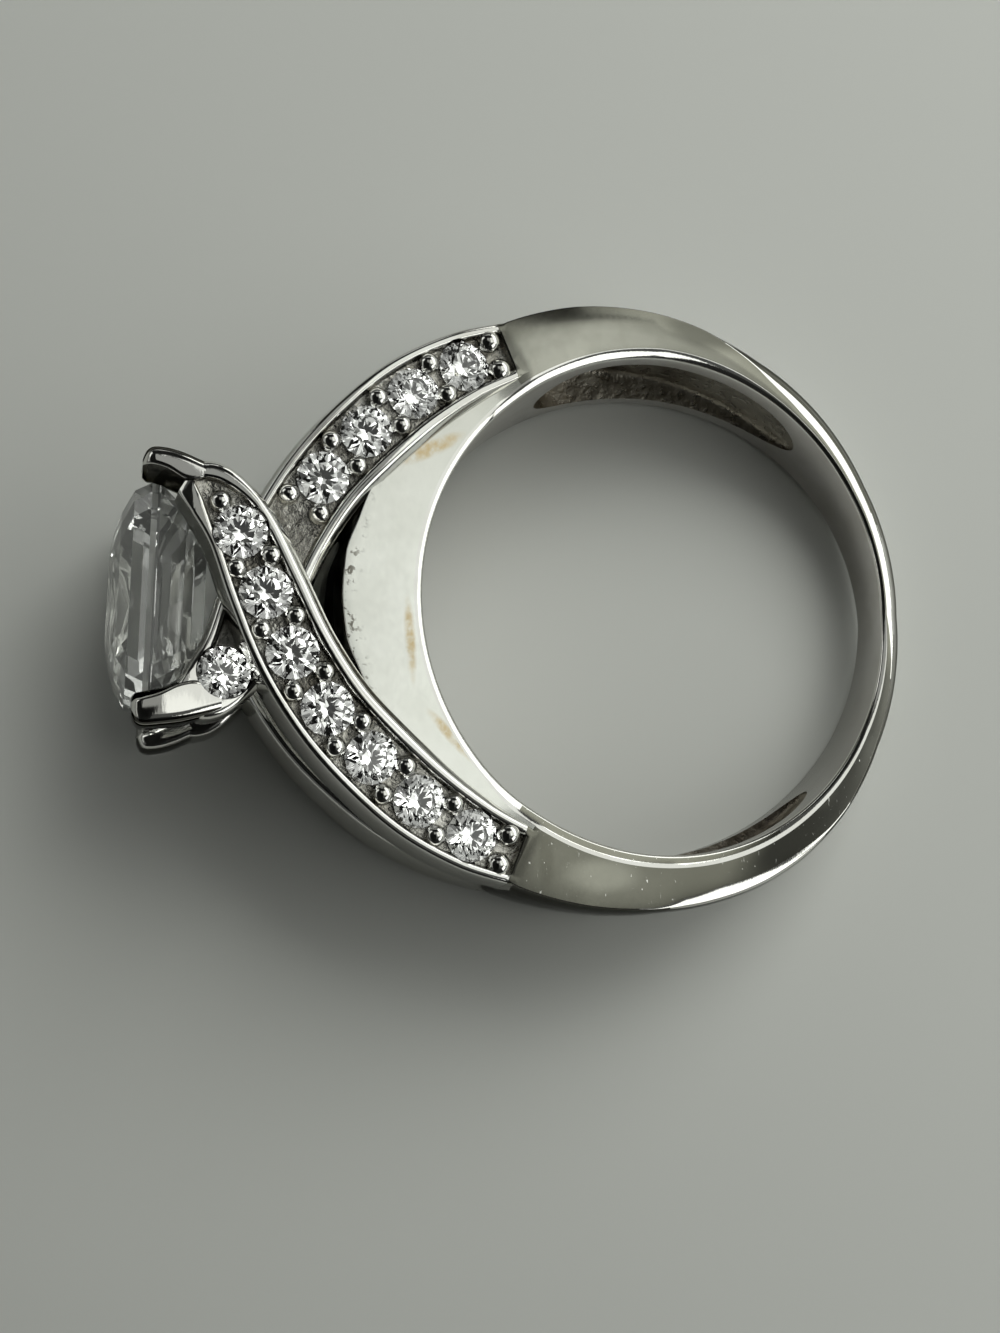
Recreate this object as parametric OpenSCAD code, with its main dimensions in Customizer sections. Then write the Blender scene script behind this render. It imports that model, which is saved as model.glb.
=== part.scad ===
// A finger ring: a cast mount with four crossing arms, a square stone and small round stones.
// It lies on its side as it rests by itself. The head points towards -Y and +Z is up.

/* [Finger hole] */
// Diameter of the finger hole
finger_d = 17.3; // [17.0:0.1:17.6]

/* [Centre stone] */
// Length of a side of the square stone
stone_side = 7.3; // [7.1:0.05:7.4]
// Radius of the stone's rounded corners
stone_corner_r = 1.1; // [1:0.05:1.4]
// Thickness of the stone's girdle
stone_girdle_t = 0.28; // [0.2:0.02:0.4]
// Height of the crown above the girdle
stone_crown_h = 1.26; // [1.1:0.02:1.4]
// Depth of the pavilion below the girdle
stone_pavilion_h = 3.2; // [3:0.05:3.4]
// Distance from the finger axis to the lower edge of the girdle
stone_seat = 17.36; // [17.3:0.02:17.44]
// Angle by which the stone leans from the middle of the head
stone_lean = 2.6; // [0:0.1:4]

/* [Accent stones] */
// Diameter of the round stones
accent_d = 1.75; // [1.6:0.05:1.8]
// Distance from one round stone to the next along an arm
accent_pitch = 2.13; // [2.05:0.01:2.2]
// Distance from the end of a channel to the first round stone
accent_first = 1.6; // [1.5:0.05:1.7]
// Diameter of the bead grains that hold them
bead_d = 0.66; // [0.5:0.02:0.7]
// Distance of a bead grain from the middle of the arm
bead_aside = 0.66; // [0.6:0.01:0.72]

/* [Arms] */
// Width of the rails on both sides of a channel
rail_w = 0.28; // [0.2:0.01:0.35]
// Depth of a channel below its rails
channel_depth = 0.36; // [0.3:0.01:0.45]

/* [Fits] */
// Gap between a stone and its seat
seat_gap = 0.03; // [0.02:0.01:0.05]

/* [Rest] */
// Angle between the finger hole's axis and the upright
rest_tilt = 8.88; // [8:0.02:10]
// Height of the finger axis' middle above the floor
rest_lift = 3.08; // [2.9:0.01:3.3]
// Distance by which the ring is moved along its length to be centred
rest_shift = 4.71; // [4.4:0.01:5]

/* [Hidden] */
finger_r = finger_d / 2;
core_r = finger_r - 0.7;
// The side faces start this far inside the finger hole's wall, so that the hole cuts them cleanly
side_r = finger_r - 0.08;
eps = 0.01;
// The casting is joined this far away. Points there that are closer than a micrometre fall
// together, so that no slivers are left where its surfaces cross.
FAR = 1e9;

// Columns of the shank's table: angle from the back, outer radius of the side face, half width
// at the finger hole, half width at the outer edge, and height of the dome outside the side faces
SH_ANGLE = 0;
SH_FACE_R = 1;
SH_HALF_IN = 2;
SH_HALF_OUT = 3;
SH_DOME = 4;
SHANK = [
  [0, 9.05, 1.20, 1.12, 0.57],
  [30, 9.20, 1.60, 1.48, 0.54],
  [50, 9.50, 2.08, 1.95, 0.44],
  [70, 9.82, 2.62, 2.52, 0.30],
  [90, 10.22, 3.12, 3.08, 0.22],
  [107, 10.72, 3.34, 3.34, 0.18],
  [122, 11.12, 3.42, 3.42, 0.16],
  [134, 11.30, 3.30, 3.30, 0.10],
];

// Columns of the arm's table: distance of the middle line towards the head and aside, half width,
// height of the face where the arm passes over and under, and height of the underside
TO_HEAD = 0;
ASIDE = 1;
HALF_W = 2;
FACE_OVER = 3;
FACE_UNDER = 4;
LOW = 5;
ARM = [
  [5.60, 8.55, 1.02, 3.42, 3.42, -0.10],
  [7.15, 7.92, 1.17, 3.75, 3.72, -0.10],
  [8.90, 6.85, 1.29, 4.15, 4.00, 0.15],
  [10.52, 5.46, 1.31, 4.55, 4.02, 0.70],
  [11.92, 3.95, 1.28, 4.82, 3.80, 1.10],
  [13.08, 2.12, 1.26, 4.92, 3.62, 1.30],
  [13.97, 0.05, 1.20, 4.90, 3.62, 1.45],
  [14.74, -1.85, 1.08, 4.82, 3.80, 1.65],
  [15.55, -3.05, 0.98, 4.75, 3.98, 1.85],
  [16.40, -3.60, 0.76, 4.70, 4.12, 2.05],
];
LAST_T = len(ARM) - 1;

// Columns of a prong's table: distance from the finger axis, outer and inner edge aside, how far
// aside the slanted inner side ends, lower edge, and height of the face
PR_TO_HEAD = 0;
PR_OUT = 1;
PR_IN = 2;
PR_HEEL = 3;
PR_LOW = 4;
PR_FACE = 5;
PRONG_OVER = [
  [15.30, 4.06, 2.90, 2.70, 1.95, 4.60],
  [16.02, 4.28, 3.02, 2.85, 2.00, 4.66],
  [16.50, 4.44, 3.54, 3.26, 2.05, 4.66],
  [17.00, 4.57, 3.84, 3.46, 2.10, 4.64],
  [17.45, 4.60, 3.98, 3.62, 2.20, 4.60],
  [17.68, 4.50, 4.00, 3.66, 2.35, 4.50],
  [17.82, 4.26, 3.98, 3.78, 2.65, 4.25],
];
PRONG_UNDER = [
  [15.30, 3.94, 3.30, 3.10, 1.95, 4.10],
  [16.02, 4.14, 3.00, 2.70, 2.00, 4.24],
  [16.60, 4.28, 3.06, 2.82, 2.05, 4.32],
  [17.20, 4.36, 3.34, 3.04, 2.10, 4.40],
  [17.75, 4.40, 3.52, 3.16, 2.20, 4.42],
  [18.00, 4.30, 3.58, 3.22, 2.35, 4.34],
  [18.13, 4.06, 3.66, 3.36, 2.65, 4.10],
];

function spline(table, t) =
  let (
    i = max(0, min(floor(t), len(table) - 2)),
    f = t - i,
    a = table[max(i - 1, 0)],
    b = table[i],
    c = table[i + 1],
    d = table[min(i + 2, len(table) - 1)]
  )
  b + f * ((c - a) / 2 + f * (a - 2.5 * b + 2 * c - d / 2 + f * (1.5 * b - 1.5 * c + (d - a) / 2)));

function arm_row(t) = spline(ARM, max(0, min(t, LAST_T)));
function arm_point(t) = let (row = arm_row(t)) [row[ASIDE], -row[TO_HEAD]];
function unit(v) = v / norm(v);
function arm_along(t) = unit(arm_point(min(t + 0.05, LAST_T)) - arm_point(max(t - 0.05, 0)));
function arm_across(t) = let (a = arm_along(t)) [-a.y, a.x];
function arm_place(t, across, height) =
  let (p = arm_point(t) + across * arm_across(t)) [p.x, p.y, height];

// Lengths along the arm's middle line, to place the stones at an even pitch
T_STEP = 0.1;
ARM_T = [for (t = [0 : T_STEP : LAST_T + eps]) t];
function run_to(i) = i == 0 ? 0 : run_to(i - 1) + norm(arm_point(ARM_T[i]) - arm_point(ARM_T[i - 1]));
ARM_RUN = [for (i = [0 : len(ARM_T) - 1]) [run_to(i), ARM_T[i]]];
function t_at(run) = lookup(run, ARM_RUN);

OVER_RUNS = [for (i = [0 : 6]) accent_first + i * accent_pitch];
UNDER_RUNS = concat([for (i = [0 : 3]) accent_first + i * accent_pitch], [accent_first + 6.42 * accent_pitch]);

OVER_NAMES = [for (i = [1 : len(OVER_RUNS)]) str("over_stone_", i)];
UNDER_NAMES = [for (i = [1 : len(UNDER_RUNS)]) str("under_stone_", i)];
SIDES = ["front", "back"];

// A closed solid through rings of points that all have the same number of points. Seen along
// the way from the first ring to the last, each ring runs clockwise.
module loft(rings) {
  n = len(rings[0]);
  m = len(rings);
  points = [for (r = rings) each r];
  sides = [
    for (i = [0 : m - 2], j = [0 : n - 1])
    let (a = i * n + j, b = i * n + (j + 1) % n)
    each [[a, b + n, b], [a, a + n, b + n]]
  ];
  first = [for (j = [0 : n - 1]) j];
  last = [for (j = [n - 1 : -1 : 0]) (m - 1) * n + j];
  polyhedron(points, concat([first, last], sides), convexity = 8);
}

// The same shape on the side that shows and, turned about the head's axis, on the hidden side
module both_sides() {
  children();
  rotate([0, 180, 0]) children();
}

// The pose in which the ring lies: on both shoulders and on an arm at the crossing
module lie() {
  translate([0, rest_shift, rest_lift]) rotate([-rest_tilt, 0, 0]) children();
}

module shank() {
  steps = 3;
  ends = SHANK[len(SHANK) - 1][SH_ANGLE];
  angles = [for (a = [-ends : ends / 20 : ends + eps]) a];
  rings = [
    for (a = angles)
    let (
      row = [for (c = [0 : 4]) lookup(abs(a), [for (r = SHANK) [r[SH_ANGLE], r[c]]])],
      dome = [
        for (i = [0 : 2 * steps])
        let (u = 90 * i / steps)
        [row[SH_FACE_R] + row[SH_DOME] * sin(u), row[SH_HALF_OUT] * cos(u)]
      ],
      outline = concat([[core_r, -row[SH_HALF_IN]], [core_r, row[SH_HALF_IN]],
                        [side_r, row[SH_HALF_IN]]], dome, [[side_r, -row[SH_HALF_IN]]])
    )
    [for (p = outline) [-p[0] * sin(a), p[0] * cos(a), p[1]]]
  ];
  loft(rings);
}

// Width of the slanting ledge below the inner rail
ledge_drop = 0.28;
function ledge(t) = lookup(t, [[0, 0.05], [1, 0.18], [2.5, 0.26], [6.5, 0.26], [8, 0.08], [9, 0.02]]);
function arm_face(t, under) = arm_row(t)[under ? FACE_UNDER : FACE_OVER];

module arm(under = false) {
  bulge = 0.10;
  ease = 0.12;
  loft([
    for (t = [0 : 0.5 : LAST_T])
    let (
      row = arm_row(t),
      face = arm_face(t, under),
      half = row[HALF_W],
      middle = (face + row[LOW]) / 2
    )
    [
      arm_place(t, half - ease, row[LOW]),
      arm_place(t, half + bulge, middle),
      arm_place(t, half, face),
      arm_place(t, -half, face),
      arm_place(t, -half - ledge(t), face - ledge_drop),
      arm_place(t, -half - ledge(t), middle),
      arm_place(t, -half, row[LOW]),
    ]
  ]);
}

CHANNEL_END_T = 8.7;
function channel_half(t) =
  let (
    half = arm_row(t)[HALF_W] - rail_w,
    close = min(1, (CHANNEL_END_T - t) / 1.4)
  )
  max(0.03, half * sqrt(max(0, close)));

module channel(under = false) {
  above = 1;
  slope = 0.06;
  loft([
    for (t = [0 : CHANNEL_END_T / 13 : CHANNEL_END_T + eps])
    let (half = channel_half(t), face = arm_face(t, under), floor_h = face - channel_depth)
    [
      arm_place(t, half - min(slope, half / 2), floor_h),
      arm_place(t, half, face),
      arm_place(t, half, face + above),
      arm_place(t, -half, face + above),
      arm_place(t, -half, face),
      arm_place(t, -half + min(slope, half / 2), floor_h),
    ]
  ]);
}

module prong(under = false) {
  loft([
    for (row = under ? PRONG_UNDER : PRONG_OVER)
    [
      for (p = [
        [row[PR_OUT] - 0.04, row[PR_LOW] + 0.2],
        [row[PR_OUT] - 0.2, row[PR_LOW]],
        [row[PR_HEEL] + 0.4, row[PR_LOW]],
        [row[PR_HEEL], 3.1],
        [row[PR_HEEL] + 0.06, 3.5],
        [row[PR_IN], row[PR_FACE]],
        [row[PR_OUT] - 0.16, row[PR_FACE]],
        [row[PR_OUT], row[PR_FACE] - 0.2],
      ])
      [-p[0], -row[PR_TO_HEAD], p[1]]
    ]
  ]);
}

// Columns of the gallery's table: angle from the head's axis and outer radius
GALLERY = [[0, 11.35], [8, 11.30], [13, 11.08], [20, 10.95], [30, 10.50], [45, 10.00], [62, 9.70]];
function gallery_half(to_head) = lookup(to_head, [[3.5, 2.75], [5.5, 3.08], [7, 3.38], [8.65, 3.62], [11.45, 3.78]]);

module gallery() {
  ends = 62;
  loft([
    for (a = [-ends : ends / 12 : ends + eps])
    let (
      outer = lookup(abs(a), GALLERY),
      low = gallery_half(side_r * cos(a)),
      high = gallery_half(outer * cos(a))
    )
    [
      for (p = [[core_r, -low], [core_r, low], [side_r, low], [outer, high], [outer, -high], [side_r, -low]])
      [p[0] * sin(a), -p[0] * cos(a), p[1]]
    ]
  ]);
}

// The gap between the front and the back half of the gallery, outside the finger hole's wall
GAP_HALF = [[0, 1.30], [20, 1.20], [35, 0.80], [50, 0.20]];
module gallery_gap() {
  ends = 50;
  inner = finger_r + 0.9;
  outer = 12;
  loft([
    for (a = [-ends : ends / 10 : ends + eps])
    let (half = lookup(abs(a), GAP_HALF))
    [
      for (p = [[inner, -half], [inner, half], [outer, half], [outer, -half]])
      [p[0] * sin(a), -p[0] * cos(a), p[1]]
    ]
  ]);
}

// Hollows in the finger hole's wall, from the shoulders towards the back
POCKET_FROM = 47;
POCKET_TO = 116;
module pocket() {
  steps = 14;
  wall = 0.82;
  middle = (POCKET_FROM + POCKET_TO) / 2;
  reach = (POCKET_TO - POCKET_FROM) / 2;
  loft([
    for (i = [0 : steps])
    let (
      a = middle - reach * cos(180 * i / steps),
      shut = sqrt(max(0.0004, 1 - pow(abs(a - middle) / reach, 6))),
      outer = lookup(a, [for (r = SHANK) [r[SH_ANGLE], r[SH_FACE_R]]]) - wall + 0.25,
      half = (lookup(a, [for (r = SHANK) [r[SH_ANGLE], r[SH_HALF_IN]]]) - 0.85) * shut,
      depth = finger_r + (outer - finger_r) * (0.4 + 0.6 * shut)
    )
    [
      for (p = [[core_r - 0.1, -half], [core_r - 0.1, half], [depth - 0.1, half], [depth, half * 0.7],
                [depth, -half * 0.7], [depth - 0.1, -half]])
      [-p[0] * sin(a), p[0] * cos(a), p[1]]
    ]
  ]);
}

// Places a round stone or its seat on an arm, square to the arm's sloping face
module on_arm(run, under = false) {
  t = t_at(run);
  ahead = arm_along(t);
  rise = (arm_face(t + 0.2, under) - arm_face(t - 0.2, under))
    / norm(arm_point(t + 0.2) - arm_point(t - 0.2));
  p = arm_place(t, 0, arm_face(t, under));
  translate(p) rotate([0, 0, atan2(ahead.y, ahead.x)]) rotate([0, -atan(rise), 0]) children();
}

// Parts of a round stone as shares of its diameter
TABLE_SHARE = 0.56;
CROWN_SHARE = 0.16;
GIRDLE_SHARE = 0.035;
PAVILION_SHARE = 0.43;
GIRDLE_BELOW_FACE = 0.26;

function circle_points(r, z, n, turn = 0) = [for (i = [0 : n - 1]) [r * cos(360 * i / n + turn), r * sin(360 * i / n + turn), z]];

// A round brilliant with its girdle's lower edge at height 0
module brilliant(d) {
  r = d / 2;
  top = d * (GIRDLE_SHARE + CROWN_SHARE);
  girdle = d * GIRDLE_SHARE;
  table = circle_points(r * TABLE_SHARE, top, 8, 22.5);
  stars = circle_points(r * 0.80, girdle + (top - girdle) * 0.55, 8);
  upper = circle_points(r, girdle, 16);
  lower = circle_points(r, 0, 16);
  mains = circle_points(r * 0.26, -d * PAVILION_SHARE * 0.76, 8, 22.5);
  culet = [[0, 0, -d * PAVILION_SHARE]];
  points = concat(table, stars, upper, lower, mains, culet);
  T = 0;
  S = 8;
  U = 16;
  L = 32;
  M = 48;
  C = 56;
  faces = concat(
    [[for (i = [7 : -1 : 0]) T + i]],
    [for (i = [0 : 7]) [T + (i + 7) % 8, T + i, S + i]],
    [for (i = [0 : 7]) [T + i, U + (2 * i + 1), S + i]],
    [for (i = [0 : 7]) [T + i, S + (i + 1) % 8, U + (2 * i + 1)]],
    [for (i = [0 : 7]) [S + i, U + 2 * i + 1, U + 2 * i]],
    [for (i = [0 : 7]) [S + i, U + 2 * i, U + (2 * i + 15) % 16]],
    [for (i = [0 : 15]) [U + i, U + (i + 1) % 16, L + (i + 1) % 16]],
    [for (i = [0 : 15]) [U + i, L + (i + 1) % 16, L + i]],
    [for (i = [0 : 7]) [L + 2 * i, L + 2 * i + 1, M + i]],
    [for (i = [0 : 7]) [L + 2 * i + 1, L + (2 * i + 2) % 16, M + i]],
    [for (i = [0 : 7]) [L + 2 * i, M + i, M + (i + 7) % 8]],
    [for (i = [0 : 7]) [M + i, C, M + (i + 7) % 8]]
  );
  polyhedron(points, faces, convexity = 2);
}

module accent(run, under = false) {
  color("ghostwhite") on_arm(run, under) translate([0, 0, -GIRDLE_BELOW_FACE]) brilliant(accent_d);
}

module accent_seat(run, under = false) {
  r = accent_d / 2 + seat_gap;
  depth = accent_d * PAVILION_SHARE + 0.1;
  above = 0.5;
  on_arm(run, under) translate([0, 0, -GIRDLE_BELOW_FACE])
    loft([circle_points(0.12, -depth, 10), circle_points(r * 1.05, -eps, 10), circle_points(r * 1.05, above, 10)]);
}

// A grain with a round top, half sunk in the channel's floor
module bead(run, side, under = false) {
  r = bead_d / 2;
  on_arm(run, under) translate([0, side * bead_aside, -channel_depth])
    loft([
      circle_points(r, -0.12, 10),
      circle_points(r * 0.94, 0.16, 10),
      circle_points(r * 0.45, 0.42, 10),
    ]);
}

// Half lengths of the square stone's outline at each height, as shares of the girdle's
function square_ring(half, corner, z) = [
  for (q = [0 : 3], u = [0, 30, 60, 90])
  let (c = half - corner)
  [cos(90 * q) * (c + corner * cos(u)) - sin(90 * q) * (c + corner * sin(u)),
   sin(90 * q) * (c + corner * cos(u)) + cos(90 * q) * (c + corner * sin(u)), z]
];

module square_stone(grow = 0) {
  half = stone_side / 2 + grow;
  low = -grow;
  crown = stone_girdle_t + grow;
  loft([
    square_ring(half * 0.06, stone_corner_r * 0.05, -stone_pavilion_h - grow),
    square_ring(half * 0.42, stone_corner_r * 0.45, -stone_pavilion_h * 0.66 - grow),
    square_ring(half * 0.80, stone_corner_r * 0.85, -stone_pavilion_h * 0.28 - grow),
    square_ring(half, stone_corner_r, low),
    square_ring(half, stone_corner_r, crown),
    square_ring(half - 0.24, stone_corner_r * 1.05, crown + stone_crown_h * 0.43),
    square_ring(half - 0.86, stone_corner_r * 1.1, crown + stone_crown_h * 0.73),
    square_ring(half - 1.45, stone_corner_r, crown + stone_crown_h * 0.89),
    square_ring(half - 2.10, stone_corner_r * 0.75, crown + stone_crown_h),
  ]);
}

// The head's middle line bends by the stone's lean at this distance from the finger axis
BEND_AT = 13.4;
module on_head() {
  translate([0, -BEND_AT, 0]) rotate([0, 0, -stone_lean]) translate([0, BEND_AT - stone_seat, 0])
    rotate([90, 0, 0]) children();
}

module far() {
  translate([FAR, 0, 0]) children();
}

module stone_seats() {
  both_sides() for (run = OVER_RUNS) accent_seat(run);
  both_sides() mirror([1, 0, 0]) for (run = UNDER_RUNS) accent_seat(run, under = true);
  on_head() square_stone(grow = seat_gap);
}

module beads() {
  both_sides() {
    for (run = OVER_RUNS, side = [-1, 1]) bead(run - accent_pitch / 2, side);
    bead(OVER_RUNS[6] + accent_pitch * 0.56, 0);
  }
  both_sides() mirror([1, 0, 0]) {
    for (i = [0 : 4], side = [-1, 1]) bead(UNDER_RUNS[0] + (i - 0.5) * accent_pitch, side, under = true);
    bead(UNDER_RUNS[4] + accent_pitch * 0.56, 0, under = true);
  }
}

// The arms that pass under are cut by their channels before the arms that pass over are added
module casting() {
  translate([-FAR, 0, 0]) {
    difference() {
      union() {
        difference() {
          union() {
            far() shank();
            difference() {
              far() gallery();
              far() gallery_gap();
            }
            far() both_sides() mirror([1, 0, 0]) arm(under = true);
          }
          far() both_sides() mirror([1, 0, 0]) channel(under = true);
        }
        far() both_sides() arm();
        far() both_sides() prong();
        far() both_sides() mirror([1, 0, 0]) prong(under = true);
      }
      far() both_sides() channel();
      far() stone_seats();
      far() pocket();
      far() mirror([1, 0, 0]) pocket();
    }
    far() beads();
  }
}

module cast_mount() {
  color("silver") lie() difference() {
    resize([0, 0, 0]) casting();
    cylinder(h = 30, r = finger_r, center = true, $fn = 96);
  }
}

module centre_stone() {
  color("white") lie() on_head() square_stone();
}

module accent_of(side, name) {
  over = search([name], OVER_NAMES)[0];
  under = search([name], UNDER_NAMES)[0];
  lie() rotate([0, side == "back" ? 180 : 0, 0])
    if (is_num(over)) accent(OVER_RUNS[over]);
    else mirror([1, 0, 0]) accent(UNDER_RUNS[under], under = true);
}

cast_mount();
centre_stone();
for (side = SIDES, name = concat(OVER_NAMES, UNDER_NAMES))
  accent_of(side, name);
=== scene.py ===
"""Looks of the finger ring: smooth cast metal, cut stones, a pale floor and soft studio light."""

import math

import bpy
import numpy as np
from mathutils import Matrix, Vector


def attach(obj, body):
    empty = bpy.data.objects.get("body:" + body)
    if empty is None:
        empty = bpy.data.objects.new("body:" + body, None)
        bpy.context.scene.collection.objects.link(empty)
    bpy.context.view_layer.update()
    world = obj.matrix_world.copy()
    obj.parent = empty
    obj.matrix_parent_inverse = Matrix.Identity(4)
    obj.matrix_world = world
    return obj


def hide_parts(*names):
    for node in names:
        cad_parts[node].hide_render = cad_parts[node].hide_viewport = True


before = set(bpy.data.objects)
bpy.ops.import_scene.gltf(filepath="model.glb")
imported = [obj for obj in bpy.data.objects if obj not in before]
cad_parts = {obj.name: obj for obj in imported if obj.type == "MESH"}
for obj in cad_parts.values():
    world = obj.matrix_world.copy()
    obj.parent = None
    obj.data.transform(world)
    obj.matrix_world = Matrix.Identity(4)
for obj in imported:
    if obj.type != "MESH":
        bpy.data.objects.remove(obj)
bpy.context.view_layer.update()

# Millimetres in the ring's own frame: +Z along the finger, the head towards -Y
MM = 0.001
FINGER_R = 8.65
REST_TILT = math.radians(8.88)
REST_LIFT = 3.08
REST_SHIFT = 4.71
RAIL_W = 0.28
CHANNEL_DEPTH = 0.36
CHANNEL_END_T = 8.7
LEDGE_DROP = 0.28
SEAT_GAP = 0.03

# Distance towards the head and aside, half width, height of the face over and under, underside
ARM = np.array([
    [5.60, 8.55, 1.02, 3.42, 3.42, -0.10],
    [7.15, 7.92, 1.17, 3.75, 3.72, -0.10],
    [8.90, 6.85, 1.29, 4.15, 4.00, 0.15],
    [10.52, 5.46, 1.31, 4.55, 4.02, 0.70],
    [11.92, 3.95, 1.28, 4.82, 3.80, 1.10],
    [13.08, 2.12, 1.26, 4.92, 3.62, 1.30],
    [13.97, 0.05, 1.20, 4.90, 3.62, 1.45],
    [14.74, -1.85, 1.08, 4.82, 3.80, 1.65],
    [15.55, -3.05, 0.98, 4.75, 3.98, 1.85],
    [16.40, -3.60, 0.76, 4.70, 4.12, 2.05],
])
LAST_T = len(ARM) - 1
POINTS = 4
TO_HEAD, ASIDE, HALF_W, FACE_OVER, FACE_UNDER, LOW = range(6)

# Distance to the head, outer and inner edge, heel of the slanted inner side, lower edge, face
PRONG_OVER = np.array([
    [15.30, 3.98, 3.78, 3.60, 1.95, 4.66],
    [15.70, 4.10, 3.66, 3.40, 1.98, 4.69],
    [16.10, 4.26, 3.50, 3.20, 2.00, 4.71],
    [16.50, 4.43, 3.54, 3.26, 2.05, 4.72],
    [17.00, 4.57, 3.84, 3.46, 2.10, 4.72],
    [17.45, 4.60, 3.98, 3.62, 2.20, 4.72],
    [17.68, 4.50, 4.00, 3.66, 2.35, 4.60],
    [17.82, 4.26, 3.98, 3.78, 2.65, 4.30],
])
PRONG_UNDER = np.array([
    [15.30, 3.94, 3.30, 3.10, 1.95, 4.10],
    [16.02, 4.14, 3.00, 2.70, 2.00, 4.24],
    [16.60, 4.28, 3.06, 2.82, 2.05, 4.32],
    [17.20, 4.36, 3.34, 3.04, 2.10, 4.40],
    [17.75, 4.40, 3.52, 3.16, 2.20, 4.42],
    [18.00, 4.30, 3.58, 3.22, 2.35, 4.34],
    [18.13, 4.06, 3.66, 3.36, 2.65, 4.10],
])

# Angle from the back, radius that the pockets keep to, half width at the finger hole and outside
SHANK = np.array([
    [0, 9.05, 1.20, 1.12],
    [30, 9.20, 1.60, 1.48],
    [50, 9.50, 2.08, 1.95],
    [70, 9.82, 2.62, 2.52],
    [90, 10.22, 3.12, 3.08],
    [107, 10.72, 3.34, 3.34],
    [122, 11.12, 3.42, 3.42],
    [134, 11.30, 3.30, 3.30],
    [180, 11.35, 3.30, 3.30],
])
# Angle from the head, outer radius of the gallery
GALLERY = np.array([[0, 11.35], [8, 11.30], [13, 11.08], [20, 10.95], [30, 10.50], [45, 10.00], [62, 9.70]])
# Distance towards the head, half width of the gallery
GALLERY_HALF = np.array([[3.5, 2.75], [5.5, 3.08], [7, 3.38], [8.65, 3.62], [11.45, 3.78]])
# Angle from the head, half width of the gap between the gallery's two plates
GAP_HALF = np.array([[0, 1.30], [20, 1.20], [35, 0.80], [50, 0.20]])

# How the ring lies at rest, and the same in the frame's metres
LIE = Matrix.Translation((0, REST_SHIFT, REST_LIFT)) @ Matrix.Rotation(-REST_TILT, 4, "X")
TO_ROW = Matrix.Scale(MM, 4) @ LIE


def feed(tree, socket, value):
    """Gives a socket a value or another node's output."""
    if isinstance(value, bpy.types.NodeSocket):
        tree.links.new(value, socket)
    else:
        socket.default_value = value


def node(tree, kind, settings=None, **inputs):
    """A new shader node; an input is given by its name, or by n and its number."""
    made = tree.nodes.new("ShaderNode" + kind)
    for key, value in (settings or {}).items():
        setattr(made, key, value)
    for key, value in inputs.items():
        by_number = key[0] == "n" and key[1:].isdigit()
        feed(tree, made.inputs[int(key[1:]) if by_number else key.replace("_", " ")], value)
    return made


def shader(name, **values):
    """A new material and its main shader, with values for the shader's inputs."""
    mat = bpy.data.materials.new(name)
    mat.use_nodes = True
    bsdf = mat.node_tree.nodes["Principled BSDF"]
    for key, value in values.items():
        bsdf.inputs[key.replace("_", " ")].default_value = value
    return mat, bsdf


def ring_mm(tree):
    """Coordinates in the ring's own frame, in millimetres."""
    to_ring = TO_ROW.inverted()
    place = node(tree, "TexCoord").outputs["Object"]
    return node(
        tree, "Mapping", Vector=place, Location=to_ring.to_translation(), Rotation=to_ring.to_euler(),
        Scale=to_ring.to_scale(),
    ).outputs[0]


def blend(tree, factor, a, b):
    """Mixes two colours."""
    mix = node(tree, "Mix", {"data_type": "RGBA"})
    for socket, value in ((mix.inputs["Factor"], factor), (mix.inputs[6], a), (mix.inputs[7], b)):
        feed(tree, socket, value)
    return mix.outputs[2]


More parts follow.
